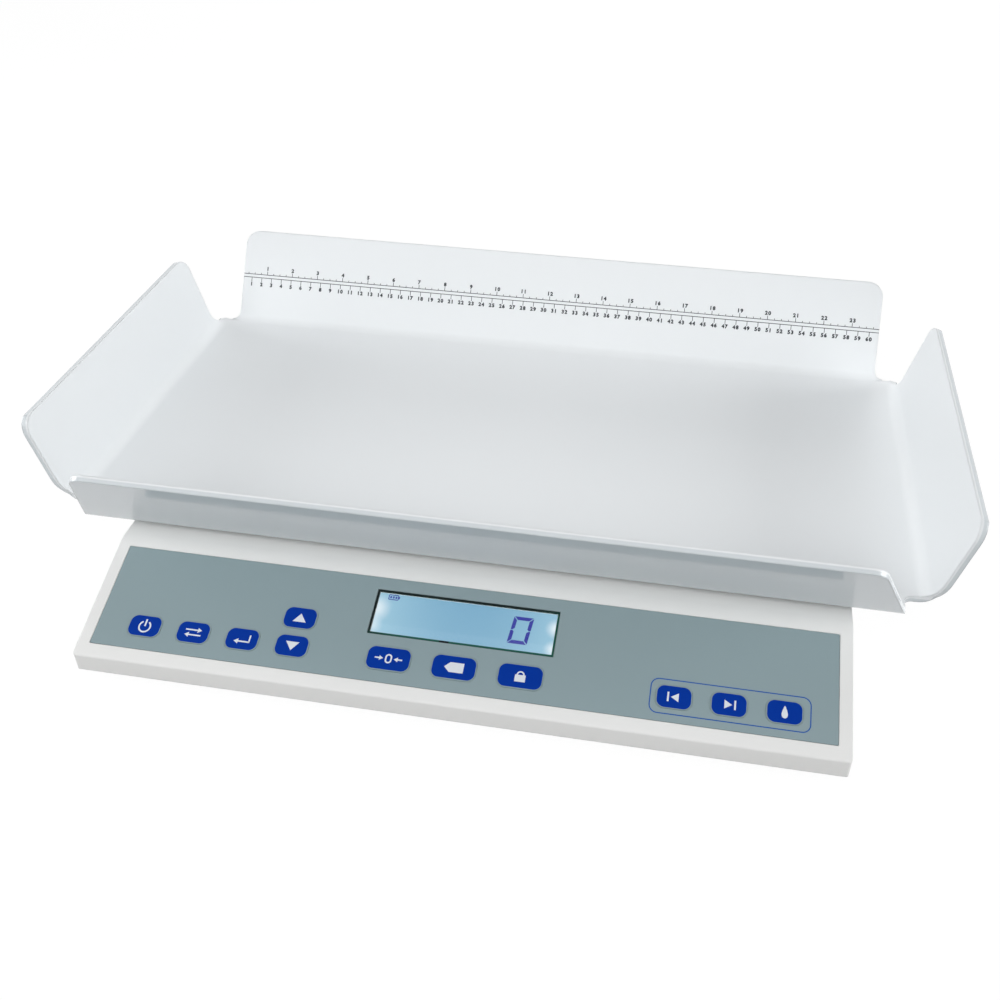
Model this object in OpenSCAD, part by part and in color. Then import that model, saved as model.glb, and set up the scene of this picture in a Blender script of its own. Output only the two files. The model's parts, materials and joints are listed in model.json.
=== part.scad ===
// Infant weighing scale: a four-sided tray on a load-cell platform, carried by a
// flat housing with a sloping control panel. Millimetres, +Z up, front towards -Y,
// origin on the table under the middle of the whole object.

/* [Tray] */
// Width of the tray floor between the folds of its side walls
tray_floor_w = 642; // [600:1:680]
// Depth of the tray floor between the folds of its front and back walls
tray_floor_d = 298; // [270:1:330]
// Thickness of the tray sheet
sheet_t = 5; // [4:0.5:6]
// Height of all four walls above the tray floor
wall_h = 73; // [55:1:95]
// Lean of the side walls from upright, in degrees
side_flare = 14.5; // [6:0.5:24]
// Lean of the back wall from upright, in degrees
back_lean = 33.5; // [20:0.5:38]
// Lean of the front wall from upright, in degrees
front_lean = 32; // [20:0.5:38]
// Length of the back wall, and of the front wall at its fold
end_wall_w = 607; // [560:1:610]
// Length of the front wall along its top edge
front_top_w = 549; // [500:1:560]
// Inside radius of the folds
bend_r = 10; // [8:0.5:16]
// Radius of the walls' free corners
corner_r = 14; // [8:1:20]
// Radius of the relief beside the front and back walls
notch_r = 7; // [5:0.5:9]
// Distance from the front fold back to the side walls' front ends
side_front_inset = 5.5; // [3:0.5:8]
// Distance from the rear fold forward to the side walls' rear ends
side_rear_inset = 17.5; // [12:0.5:20]
// Distance from the front fold back to the floor's edge beside it
front_relief = 13; // [9:0.5:14]
// Distance from the rear fold forward to the floor's edge beside it
rear_relief = 1; // [0.5:0.5:3]

/* [Housing] */
// Width of the housing
base_w = 538; // [530:1:560]
// Depth of the housing
base_d = 396; // [385:1:410]
// Height of the housing from its rim to its deck
deck_h = 47.2; // [46:0.1:54]
// Height of the upright front face under the panel
face_h = 14.7; // [13:0.1:18]
// Slope of the control panel, in degrees
panel_tilt = 20; // [18:0.5:22]
// Wall of the housing
shell_t = 3.2; // [3:0.1:3.6]
// Radius where the panel rolls over into the deck
roll_r = 26; // [15:1:40]
// Radius along the front edge and the upright corners
edge_r = 2; // [1:0.5:3]
// Radius along the rear edge of the deck
rear_r = 6; // [3:0.5:10]
// Gap between the deck and the underside of the tray
deck_gap = 4; // [3:0.5:8]
// Distance from the tray's front fold forward to the housing's front face
front_reach = 105.3; // [100:0.1:115]
// Thickness of the base plate
plate_t = 2.5; // [2:0.1:3]

/* [Control panel] */
// Width of the printed overlay
overlay_w = 520; // [500:1:524]
// Depth of the overlay up the slope
overlay_d = 78.3; // [74:0.1:80]
// Distance from the panel's front edge to the overlay
overlay_margin = 10.2; // [8:0.1:11]
// Thickness of the overlay
overlay_t = 1.4; // [1.3:0.05:1.6]
// Thickness of the switch circuit under the overlay
circuit_t = 0.4; // [0.3:0.05:0.5]
// Width of the display window
lcd_w = 133; // [120:1:140]
// Depth of the display window up the slope
lcd_d = 34.6; // [30:0.1:36]
// Middle of the display, to the right of the scale's centre line
lcd_x = 1; // [-10:1:10]
// Middle of the display, up from the overlay's front edge
lcd_s = 51.7; // [50:0.1:53]
// Thickness of the display's clear window
lens_t = 1.1; // [0.8:0.1:1.3]
// Ledge round the display that carries the window
lcd_border = 1.8; // [1:0.1:3]

/* [Keys] */
// Width of the small keys
key_w = 24.5; // [20:0.5:28]
// Depth of the small keys
key_d = 16.5; // [14:0.5:17.5]
// Width of the keys under the display
wide_key_w = 31.5; // [26:0.5:36]
// Depth of the keys under the display
wide_key_d = 18; // [15:0.5:20]
// Corner radius of the keys
key_r = 6; // [3:0.5:6.5]
// Thickness of a key
key_t = 0.9; // [0.7:0.05:1]
// How far the keys stand above the overlay
key_proud = 0.25; // [0.1:0.05:0.4]
// Travel of a key
key_travel = 0.35; // [0.2:0.05:0.4]
// Row of keys, up from the overlay's front edge
key_row_s = 17.5; // [16:0.5:19]
// Distance between the two keys that stand one above the other
key_stack = 21.4; // [19:0.1:24]
// Distance between neighbouring small keys
key_pitch = 36.5; // [32:0.1:38]
// Distance between the keys under the display
wide_key_pitch = 46.4; // [40:0.1:50]
// Distance from the overlay's ends in to the middle of the outermost keys
key_inset = 35; // [24:1:44]

/* [Weighing platform] */
// Distance between the tray posts from left to right
post_dx = 420; // [400:1:440]
// Distance from the housing's rear in to the middle of the rear tray posts
post_inset = 45.7; // [36:0.1:56]
// Diameter of the tray posts
post_dia = 20; // [16:0.5:24]
// Diameter of the openings in the deck round the posts
deck_hole_dia = 30; // [28:0.5:34]
// Width of the spider's arms
arm_w = 44; // [40:1:50]
// Thickness of the spider's steel
arm_t = 3; // [2:0.5:3]
// Height of the spider's turned-down flanges
flange_h = 8; // [5:0.5:9]
// Length of the load cell
cell_l = 130; // [120:1:140]
// Width of the load cell
cell_w = 30; // [26:1:32]
// Height of the load cell
cell_h = 22; // [20:0.5:22]
// Downward travel of the platform under a full load
platform_travel = 0.5; // [0.3:0.1:1]
// Thickness of the rubber washers under the tray posts
washer_t = 2; // [1.5:0.1:2.5]

/* [Power] */
// Diameter of a battery
cell_dia = 14.2; // [14:0.1:14.4]
// Length of a battery with its nub
cell_len = 50.2; // [49:0.1:50.4]
// Wall of the battery box
box_t = 1.6; // [1.2:0.1:2]
// Bore of the power inlet
jack_bore_dia = 6.4; // [5.5:0.1:7]

/* [Feet] */
// Height of the rubber feet under the housing
foot_h = 6; // [4:0.5:12]
// Diameter of the feet
foot_dia = 24; // [20:1:30]
// Distance from the housing's edges in to the middle of a foot
foot_inset = 34; // [30:1:40]

/* [Hidden] */
$fn = 64;
eps = 0.01;
fit = 0.3;        // gap round pieces laid into one another
key_gap = 0.2;    // gap round a key in its opening
shank_gap = 0.1;  // radial gap round a screw in its hole

foot_curve_r = 25; // how gently a side wall's front end grows out of the floor's edge

// Heights
rim_z = foot_h;
plate_top = rim_z + plate_t;
deck_z = rim_z + deck_h;
floor_z = deck_z + deck_gap + sheet_t;

// The front and back extremes put the origin under the middle of the whole depth
end_run = end_reach(back_lean);
front_y = -(tray_floor_d + front_reach + end_run) / 2;
tray_y = front_y + front_reach + tray_floor_d / 2;
rear_y = front_y + base_d;

// Control panel
recess_t = overlay_t + circuit_t;
panel_run = (deck_h - face_h) / tan(panel_tilt);
panel_len = (deck_h - face_h) / sin(panel_tilt);
overlay_mid_s = overlay_margin + overlay_d / 2;

// Display pack, depths below the panel's face
bezel_wall = 4;
bezel_back = 1.2;
lcd_glass_t = 2;
backlight_t = 3.2;
lcd_open_w = lcd_w - 2 * lcd_border;
lcd_open_d = lcd_d - 2 * lcd_border;
glass_w = lcd_open_w - 2 * fit;
glass_d = lcd_open_d - 2 * fit;
glass_n = -recess_t - 0.1 - lcd_glass_t;
backlight_n = glass_n - backlight_t;
bezel_n = backlight_n - bezel_back;
board_gap = 0.2;
board_t = 1.6;
board_n = bezel_n - board_gap - board_t;
board_w = 214;
board_d = 62;
tail_x = 90;
tail_s = overlay_margin + 24;
tail_w = 20;
socket_h = 3;
board_s = overlay_margin + lcd_s - 8;
board_screw_dx = board_w - 12;
board_screw_dy = board_d - 10;

// Load cell and platform, heights
cell_spacer_t = 6;
cell_z = plate_top + cell_spacer_t;
arm_spacer_t = 3;
arm_z = cell_z + cell_h + arm_spacer_t;
post_z = arm_z + arm_t + washer_t;
post_h = floor_z - sheet_t - post_z;
cell_bolt_dia = 6;
cell_bolt_x = [cell_l / 2 - 25, cell_l / 2 - 9];
cell_slot_dia = 15;
cross_w = 60;
lighten_dia = 26;
lighten_edge = 43;
lighten_pitch = 50;
post_dy = 2 * (rear_y - post_inset - tray_y);
post_screw_dia = 5;
post_bite = 4;
stop_dia = 6;
stop_gap = 0.1;
stop_dy = 76;

// Screws, how far they reach into what they hold, and the seats of their heads
foot_screw_dia = 4;
foot_bite = 7;
foot_pad_t = 2.5;
case_screw_dia = 3;
case_bite = 8;
board_screw_dia = 3;
board_bite = 4.4;
cell_bite = 8;
head_sink = 1.2;
boss_dia = 9;
foot_boss_dia = 12;
case_inset = 14;
foot_x = base_w / 2 - foot_inset;
foot_y = [front_y + foot_inset, rear_y - foot_inset];
case_x = base_w / 2 - case_inset;
case_y = [front_y + case_inset, front_y + base_d / 2, rear_y - case_inset];
case_spots = [
    for (side = [-1, 1], y = case_y) [side * case_x, y],
    for (side = [-1, 1]) [side * base_w / 6, case_y[2]]
];

// Batteries lie in rows of two under the left side of the platform
cell_rows = 3;
row_pitch = cell_dia + 0.6;
contact_t = 0.5;
contact_gap = 3;
cell_gap = 0.2;
bay_l = 2 * cell_len + cell_gap + 2 * contact_gap;
bay_w = cell_rows * row_pitch + 1;
bay_h = cell_dia + 0.8;
bay_x = -(cell_l / 2 + bay_l / 2 + 18);
bay_y = tray_y - bay_w / 2 - 26;
door_l = bay_l - 2;
door_w = bay_w - 1;
hinge_r = plate_t / 2;
hinge_pin_r = hinge_r - 0.45;
hinge_pin_l = 3;
hinge_y = bay_y + door_w / 2 - hinge_r;
hinge_z = rim_z + hinge_r;
grip_w = 24;
grip_t = 0.6;

// Power inlet in the rear wall
jack_x = base_w / 4;
jack_z = rim_z + 22;
jack_w = 11;
jack_l = 14;
jack_pin_dia = 2;

// Air slots in the base plate
vent_w = 3;
vent_l = 34;
vent_pitch = 8;
vent_inset = 80;

// Each key: its middle and its size
left_x = key_inset - overlay_w / 2;
right_x = overlay_w / 2 - key_inset - 2 * key_pitch;
KEYS = [
    [left_x, key_row_s, key_w, key_d],
    [left_x + key_pitch, key_row_s, key_w, key_d],
    [left_x + 2 * key_pitch, key_row_s, key_w, key_d],
    [left_x + 3 * key_pitch, key_row_s + key_stack, key_w, key_d],
    [left_x + 3 * key_pitch, key_row_s, key_w, key_d],
    [lcd_x - wide_key_pitch, key_row_s, wide_key_w, wide_key_d],
    [lcd_x, key_row_s, wide_key_w, wide_key_d],
    [lcd_x + wide_key_pitch, key_row_s, wide_key_w, wide_key_d],
    [right_x, key_row_s, key_w, key_d],
    [right_x + key_pitch, key_row_s, key_w, key_d],
    [right_x + 2 * key_pitch, key_row_s, key_w, key_d]
];

// ---------- Shared shapes ----------

// Length of a wall's inner face, from the fold to the cut edge
function tip_s(lean) = wall_h / cos(lean);

// How far a wall's cut edge stands outside its fold
function end_reach(lean) = tip_s(lean) * sin(lean) + sheet_t * cos(lean);

function unit(v) = v / norm(v);

// Corner v of a polygon, moved in by d from both edges that meet there
function inset_corner(p, v, n, d) =
    let (a = unit(v - p), b = unit(n - v), turn = a.x * b.y - a.y * b.x)
    v + d * (b - a) / turn;

function inset_outline(pts, d) =
    [for (i = [0:len(pts) - 1])
        inset_corner(pts[(i + len(pts) - 1) % len(pts)], pts[i], pts[(i + 1) % len(pts)], d[i])];

// What a round of radius r takes off the convex corner v between p and n
module corner_waste(p, v, n, r) {
    a = unit(p - v);
    b = unit(n - v);
    half = acos(a * b) / 2;
    centre = v + unit(a + b) * r / sin(half);
    reach = r / tan(half);
    difference() {
        polygon([v + (v - centre) * 0.2, v + a * reach, centre, v + b * reach]);
        translate(centre) circle(r);
    }
}

// What a round adds in the hollow corner v between p and n: it starts and ends where a tangent
// round of radius r would, on an arc that is five hundredths wider
module fillet_web(p, v, n, r) {
    a = unit(p - v);
    b = unit(n - v);
    half = acos(a * b) / 2;
    reach = r / tan(half);
    wide = 1.05 * r;
    run = reach * cos(half) + sqrt(wide * wide - pow(reach * sin(half), 2));
    centre = v + unit(a + b) * run;
    difference() {
        polygon([v + (v - centre) * 0.1, v + a * reach, centre, v + b * reach]);
        translate(centre) circle(wide);
    }
}

// Convex outline with each corner rounded to its own radius
module rounded_outline(pts, radii) {
    count = len(pts);
    difference() {
        polygon(pts);
        for (i = [0:count - 1])
            if (radii[i] > 0)
                corner_waste(pts[(i + count - 1) % count], pts[i], pts[(i + 1) % count], radii[i]);
    }
}

module rounded_plate(w, d, h, r) {
    linear_extrude(h)
        rounded_outline([[-w, -d] / 2, [w, -d] / 2, [w, d] / 2, [-w, d] / 2], [r, r, r, r]);
}

module along_x(length) {
    rotate([90, 0, 90]) linear_extrude(length, center = true) children();
}

module along_y(length) {
    rotate([90, 0, 0]) linear_extrude(length, center = true) children();
}

// Frame of the sloping panel: x across, y up the slope, z out of its face
module on_panel(s = 0, n = 0) {
    translate([0, front_y, rim_z + face_h]) rotate([panel_tilt, 0, 0]) translate([0, s, n]) children();
}

module at_corners(dx, dy) {
    for (x = [-dx / 2, dx / 2], y = [-dy / 2, dy / 2]) translate([x, y, 0]) children();
}

function head_dia(dia) = 1.7 * dia;
function head_h(dia) = 0.5 * dia;

// Screw with its head under z = 0 and its shank pointing up
module screw_up(dia, length) {
    translate([0, 0, -head_h(dia)]) cylinder(d = head_dia(dia), h = head_h(dia));
    translate([0, 0, -head_h(dia) / 2]) cylinder(d = dia, h = length + head_h(dia) / 2);
}

// ---------- Tray ----------

// Half of the section across the tray, from the middle of the floor to one wall's cut edge
module half_section(half, lean) {
    mitre = sheet_t * tan((90 - lean) / 2);
    up = [sin(lean), cos(lean)];
    out = [cos(lean), -sin(lean)] * sheet_t;
    fold = [half, 0];
    tip = fold + up * tip_s(lean);
    low = [half + mitre, -sheet_t];
    difference() {
        polygon([[0, -sheet_t], low, tip + out, tip, fold, [0, 0]]);
        corner_waste([0, -sheet_t], low, tip + out, bend_r + sheet_t);
    }
    fillet_web([0, 0], fold, tip, bend_r);
}

// Section right across the tray, with a wall's lean for each end
module tray_section(width, leans) {
    for (side = [0, 1]) mirror([1 - side, 0]) half_section(width / 2, leans[side]);
}

// Flat tool in a wall's own plane: x along the wall, y up its inner face from the fold
module in_wall(run, lean) {
    translate([0, run, 0]) rotate([90 - lean, 0, 0]) translate([0, 0, -2 * sheet_t])
        linear_extrude(4 * sheet_t) children();
}

// Rounds the upper corners of the back wall, whose ends are square
module back_wall_waste(top) {
    for (side = [0, 1]) mirror([side, 0])
        corner_waste([end_wall_w / 2, 0], [end_wall_w / 2, top], [0, top], corner_r);
}

// Takes the slanted ends off the front wall and rounds what is left
module front_wall_waste(top) {
    foot = [end_wall_w / 2, 0];
    head = [front_top_w / 2, top];
    low = foot + (foot - head) * sheet_t / top;
    far_x = low.x + sheet_t;
    for (side = [0, 1]) mirror([side, 0]) {
        polygon([low, [far_x, low.y], [far_x, top + sheet_t], [head.x, top + sheet_t], head]);
        corner_waste(foot, head, [0, top], corner_r);
    }
}

// What comes off the front end of a side wall, seen from the side: x to the rear, y up from
// the floor. The end grows out of the floor's edge in a long curve.
module side_wall_front_waste() {
    front = side_front_inset - tray_floor_d / 2;
    foot = front_relief - tray_floor_d / 2;
    step = foot - front;
    low = -2 * sheet_t;
    polygon([[foot, low], [foot, sheet_t / 4], [front, 2 * step], [front - 1, 2 * step], [front - 1, low]]);
    corner_waste([foot, sheet_t / 4], [front, 2 * step], [front, wall_h], foot_curve_r);
    corner_waste([front, 0], [front, wall_h], [0, wall_h], corner_r);
}

// What comes off the rear end of a side wall, in the wall's plane: x to the rear, y up the
// wall. The end sweeps down to the floor's edge.
module side_wall_rear_waste(top) {
    rear = tray_floor_d / 2 - side_rear_inset;
    sweep = side_rear_inset - rear_relief;
    translate([rear, sweep]) square([sweep + 1, top]);
    translate([rear + sweep, sweep]) circle(sweep);
    corner_waste([rear, 0], [rear, top], [0, top], corner_r);
}

// Web that turns an inner corner of the flat pattern into a curve
module notch_web(corner) {
    translate([corner.x, corner.y, -sheet_t]) linear_extrude(wall_h) difference() {
        translate([-1, -1]) square(notch_r + 1);
        translate([notch_r, notch_r]) circle(notch_r);
    }
}

module tray() {
    leans = [front_lean, back_lean];
    half_d = tray_floor_d / 2;
    floor_edges = [-half_d + front_relief, half_d - rear_relief];
    color("white") translate([0, tray_y, floor_z]) {
        difference() {
            along_x(end_wall_w) tray_section(tray_floor_d, leans);
            in_wall(half_d, back_lean) back_wall_waste(tip_s(back_lean));
            mirror([0, 1, 0]) in_wall(half_d, front_lean) front_wall_waste(tip_s(front_lean));
        }
        difference() {
            translate([0, (floor_edges[1] - half_d + side_front_inset) / 2, 0])
                along_y(floor_edges[1] + half_d - side_front_inset)
                    tray_section(tray_floor_w, [side_flare, side_flare]);
            along_x(2 * tray_floor_w) side_wall_front_waste();
            for (side = [0, 1]) mirror([side, 0, 0]) rotate(90) in_wall(tray_floor_w / 2, side_flare)
                side_wall_rear_waste(tip_s(side_flare));
        }
        intersection() {
            along_x(tray_floor_w) tray_section(tray_floor_d, leans);
            for (side = [0, 1]) mirror([side, 0, 0]) {
                notch_web([end_wall_w / 2, floor_edges[1]]);
                mirror([0, 1, 0]) notch_web([end_wall_w / 2, -floor_edges[0]]);
            }
        }
    }
}

// ---------- Weighing platform ----------

module tray_posts() {
    color("white") translate([0, tray_y, post_z]) at_corners(post_dx, post_dy) difference() {
        cylinder(d = post_dia, h = post_h);
        translate([0, 0, -eps])
            cylinder(d = post_screw_dia + 2 * shank_gap, h = post_h - post_bite + 2 * shank_gap);
    }
}

module post_washers() {
    color("dimgray") translate([0, tray_y, arm_z + arm_t]) at_corners(post_dx, post_dy) difference() {
        cylinder(d = post_dia, h = washer_t);
        translate([0, 0, -eps]) cylinder(d = post_screw_dia + 2 * shank_gap, h = washer_t + 1);
    }
}

module tray_screws() {
    color("silver") translate([0, tray_y, arm_z]) at_corners(post_dx, post_dy)
        screw_up(post_screw_dia, arm_t + washer_t + post_h - post_bite);
}

// Plan of the spider: two arms from front to back, joined by a cross arm
module spider_plan(shrink = 0) {
    arm_l = post_dy + arm_w;
    for (side = [-1, 1]) translate([side * post_dx / 2, 0])
        square([arm_w - 2 * shrink, arm_l - 2 * shrink], center = true);
    square([post_dx + arm_w - 4 * shrink, cross_w - 2 * shrink], center = true);
}

module spider() {
    color("gray") translate([0, tray_y, arm_z]) difference() {
        translate([0, 0, -flange_h]) linear_extrude(flange_h + arm_t) spider_plan();
        translate([0, 0, -flange_h - 1]) linear_extrude(flange_h + 1) spider_plan(arm_t);
        at_corners(post_dx, post_dy) cylinder(d = post_screw_dia + 2 * shank_gap, h = 4 * arm_t, center = true);
        for (x = cell_bolt_x) translate([x, 0, 0])
            cylinder(d = cell_bolt_dia + 2 * shank_gap, h = 4 * arm_t, center = true);
        // Lightening holes along the cross arm
        for (side = [-1, 1], i = [0, 1])
            translate([side * (post_dx / 2 - arm_w / 2 - lighten_edge - i * lighten_pitch), 0, 0])
                cylinder(d = lighten_dia, h = 4 * arm_t, center = true);
    }
}

module arm_spacer() {
    color("silver") translate([cell_l / 2 - 17, tray_y, cell_z + cell_h]) difference() {
        translate([-17, -cell_w / 2, 0]) cube([34, cell_w, arm_spacer_t]);
        for (x = cell_bolt_x) translate([x - cell_l / 2 + 17, 0, -1])
            cylinder(d = cell_bolt_dia + 2 * shank_gap, h = arm_spacer_t + 2);
    }
}

// Bolts go down through the spider into the cell's free end
module cell_top_bolts() {
    color("silver") for (x = cell_bolt_x) translate([x, tray_y, arm_z + arm_t]) mirror([0, 0, 1])
        screw_up(cell_bolt_dia, arm_t + arm_spacer_t + cell_bite);
}

module load_cell() {
    color("lightgray") translate([0, tray_y, cell_z]) difference() {
        translate([-cell_l / 2, -cell_w / 2, 0]) cube([cell_l, cell_w, cell_h]);
        // Twin bores and the slot between them make the thin flexing spots
        for (side = [-1, 1]) translate([side * 12, 0, cell_h / 2]) rotate([90, 0, 0])
            cylinder(d = cell_slot_dia, h = cell_w + 2, center = true);
        translate([-12, -cell_w, cell_h / 2 - 3]) cube([24, 2 * cell_w, 6]);
        for (x = cell_bolt_x) {
            translate([x, 0, cell_h - cell_bite - 2])
                cylinder(d = cell_bolt_dia + 2 * shank_gap, h = cell_bite + 3);
            translate([-x, 0, -1]) cylinder(d = cell_bolt_dia + 2 * shank_gap, h = cell_bite + 3);
        }
    }
}

module cell_bottom_bolts() {
    color("silver") for (x = cell_bolt_x) translate([-x, tray_y, rim_z])
        screw_up(cell_bolt_dia, plate_t + cell_spacer_t + cell_bite);
}

module cell_spacer() {
    color("silver") translate([17 - cell_l / 2, tray_y, plate_top]) difference() {
        translate([-17, -cell_w / 2, 0]) cube([34, cell_w, cell_spacer_t]);
        for (x = cell_bolt_x) translate([cell_l / 2 - x - 17, 0, -1])
            cylinder(d = cell_bolt_dia + 2 * shank_gap, h = cell_spacer_t + 2);
    }
}

// Screws with lock nuts that catch the spider when the tray is overloaded
module overload_stops() {
    top = arm_z - platform_travel - stop_gap;
    color("silver") translate([0, tray_y, plate_top]) at_corners(post_dx, stop_dy) {
        cylinder(d = stop_dia, h = top - plate_top);
        cylinder(d = 11, h = 5, $fn = 6);
    }
}

// ---------- Housing ----------

// Corners of the housing's section, front to rear, as [depth, height]
HOUSING = [
    [front_y, rim_z], [rear_y, rim_z], [rear_y, deck_z],
    [front_y + panel_run, deck_z], [front_y, rim_z + face_h]
];

module housing_solid() {
    intersection() {
        along_x(base_w) rounded_outline(HOUSING, [0, 0, rear_r, roll_r, edge_r]);
        translate([0, front_y + base_d / 2, rim_z]) rounded_plate(base_w, base_d, deck_h, edge_r);
    }
}

module housing_cavity() {
    walls = [shell_t, shell_t, shell_t, shell_t, shell_t];
    inner = inset_outline(HOUSING, walls);
    along_x(base_w - 2 * shell_t) rounded_outline(
        [[inner[0].x, rim_z - 1], [inner[1].x, rim_z - 1], inner[2], inner[3], inner[4]],
        [0, 0, max(rear_r - shell_t, 0), roll_r - shell_t, 0]);
}

// Bosses that hang from the shell to meet the base plate or the circuit board
module housing_bosses() {
    for (spot = case_spots) translate([spot.x, spot.y, plate_top]) cylinder(d = boss_dia, h = deck_h);
}

module board_bosses() {
    on_panel(board_s, board_n + board_t) at_corners(board_screw_dx, board_screw_dy)
        cylinder(d = 7, h = -board_n - board_t);
}

module upper_housing() {
    color("whitesmoke") difference() {
        union() {
            difference() {
                housing_solid();
                housing_cavity();
            }
            intersection() {
                housing_solid();
                union() {
                    housing_bosses();
                    board_bosses();
                }
            }
        }
        // Bed of the overlay and its circuit
        on_panel(overlay_mid_s, -recess_t)
            rounded_plate(overlay_w + 2 * fit, overlay_d + 2 * fit, recess_t + 2, 1);
        // Opening for the display
        on_panel(overlay_margin + lcd_s, -shell_t - 2) translate([lcd_x, 0, 0])
            rounded_plate(lcd_open_w, lcd_open_d, shell_t + 2, 0.5);
        // Slot for the circuit's tail
        on_panel(tail_s, -shell_t - 2) translate([tail_x, 0, 0])
            rounded_plate(tail_w + 4, 2.5, shell_t + 2, 1);
        for (spot = case_spots) translate([spot.x, spot.y, plate_top - 1])
            cylinder(d = case_screw_dia + 2 * shank_gap, h = case_bite + 2);
        on_panel(board_s, board_n) at_corners(board_screw_dx, board_screw_dy)
            cylinder(d = board_screw_dia + 2 * shank_gap, h = -board_n - shell_t);
        translate([0, tray_y, deck_z]) at_corners(post_dx, post_dy)
            cylinder(d = deck_hole_dia, h = 4 * shell_t, center = true);
        translate([jack_x, rear_y, jack_z]) rotate([90, 0, 0])
            cylinder(d = jack_bore_dia + 2, h = 4 * shell_t, center = true);
    }
}

module base_plate() {
    plate_w = base_w - 2 * shell_t - 2 * fit;
    plate_d = base_d - 2 * shell_t - 2 * fit;
    mid_y = front_y + base_d / 2;
    color("lightgray") difference() {
        union() {
            translate([0, mid_y, rim_z]) rounded_plate(plate_w, plate_d, plate_t, 3);
            for (x = [-foot_x, foot_x], y = foot_y) translate([x, y, rim_z])
                cylinder(d = foot_boss_dia, h = plate_t + foot_bite + 1.5);
        }
        for (x = [-foot_x, foot_x], y = foot_y) translate([x, y, rim_z - 1])
            cylinder(d = foot_screw_dia + 2 * shank_gap, h = plate_t + foot_bite + 1.5);
        for (spot = case_spots) translate([spot.x, spot.y, rim_z]) {
            cylinder(d = case_screw_dia + 2 * shank_gap, h = 3 * plate_t, center = true);
            translate([0, 0, -1]) cylinder(d = head_dia(case_screw_dia) + 2 * fit, h = head_sink + 1);
        }
        for (x = cell_bolt_x) translate([-x, tray_y, rim_z])
            cylinder(d = cell_bolt_dia + 2 * shank_gap, h = 3 * plate_t, center = true);
        // Battery opening, and the bores of its door's hinge pins
        translate([bay_x, bay_y, rim_z - 1])
            rounded_plate(door_l + 2 * fit, door_w + 2 * fit, plate_t + 2, 0.5);
        translate([bay_x, hinge_y, hinge_z]) rotate([0, 90, 0])
            cylinder(r = hinge_pin_r + shank_gap / 2, h = door_l + 2 * hinge_pin_l + 1, center = true);
        // Air slots
        for (i = [-3:3]) translate([base_w / 4 + i * vent_pitch, rear_y - vent_inset, rim_z - 1])
            rounded_plate(vent_w, vent_l, plate_t + 2, vent_w / 2 - 0.1);
    }
}

module housing_screws() {
    color("silver") for (spot = case_spots) translate([spot.x, spot.y, rim_z + head_sink])
        screw_up(case_screw_dia, plate_t - head_sink + case_bite);
}

module rubber_feet() {
    color("dimgray") for (x = [-foot_x, foot_x], y = foot_y) translate([x, y, 0]) difference() {
        cylinder(d1 = foot_dia - 2, d2 = foot_dia, h = foot_h);
        translate([0, 0, -foot_pad_t])
            cylinder(d = head_dia(foot_screw_dia) + 2, h = foot_h);
        cylinder(d = foot_screw_dia + 2 * shank_gap, h = foot_h + 1);
    }
}

module foot_screws() {
    color("silver") for (x = [-foot_x, foot_x], y = foot_y) translate([x, y, foot_h - foot_pad_t])
        screw_up(foot_screw_dia, foot_pad_t + plate_t + foot_bite);
}

// ---------- Control panel ----------

module key_plan(key, grow = 0) {
    w = key[2] + 2 * grow;
    d = key[3] + 2 * grow;
    r = key_r + grow;
    rounded_outline([[-w, -d] / 2, [w, -d] / 2, [w, d] / 2, [-w, d] / 2], [r, r, r, r]);
}

module at_key(key, n) {
    on_panel(overlay_margin + key[1], n) translate([key[0], 0, 0]) children();
}

module panel_overlay() {
    color("lightslategray") difference() {
        on_panel(overlay_mid_s, -overlay_t) rounded_plate(overlay_w, overlay_d, overlay_t, 0.8);
        on_panel(overlay_margin + lcd_s, -overlay_t - 1) translate([lcd_x, 0, 0])
            rounded_plate(lcd_w, lcd_d, overlay_t + 2, 0.6);
        for (key = KEYS) at_key(key, -overlay_t - 1) linear_extrude(overlay_t + 2) key_plan(key, key_gap);
    }
}

module switch_circuit() {
    board_top = board_n + board_t + socket_h;
    color("darkseagreen") {
        difference() {
            on_panel(overlay_mid_s, -recess_t) rounded_plate(overlay_w, overlay_d, circuit_t, 0.8);
            on_panel(overlay_margin + lcd_s, -recess_t - 1) translate([lcd_x, 0, 0])
                rounded_plate(lcd_open_w, lcd_open_d, recess_t + 2, 0.5);
        }
        on_panel(tail_s, board_top) translate([tail_x - tail_w / 2, -circuit_t / 2, 0])
            cube([tail_w, circuit_t, -recess_t - board_top + eps]);
    }
}

// Sprung metal discs, one under each key
module key_contacts() {
    disc_h = overlay_t + key_proud - key_t - key_travel - 0.05;
    color("silver") for (key = KEYS) at_key(key, -overlay_t) cylinder(d = 8, h = disc_h);
}

module key_pad(key) {
    color("mediumblue") at_key(key, key_proud - key_t) linear_extrude(key_t) key_plan(key);
}

module key_power() { key_pad(KEYS[0]); }
module key_unit() { key_pad(KEYS[1]); }
module key_enter() { key_pad(KEYS[2]); }
module key_up() { key_pad(KEYS[3]); }
module key_down() { key_pad(KEYS[4]); }
module key_zero() { key_pad(KEYS[5]); }
module key_clear() { key_pad(KEYS[6]); }
module key_hold() { key_pad(KEYS[7]); }
module key_before_feed() { key_pad(KEYS[8]); }
module key_after_feed() { key_pad(KEYS[9]); }
module key_amount_fed() { key_pad(KEYS[10]); }

module lcd_window() {
    color("lightcyan") on_panel(overlay_margin + lcd_s, -overlay_t) translate([lcd_x, 0, 0])
        rounded_plate(lcd_w - 2 * fit, lcd_d - 2 * fit, lens_t, 0.5);
}

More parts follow.
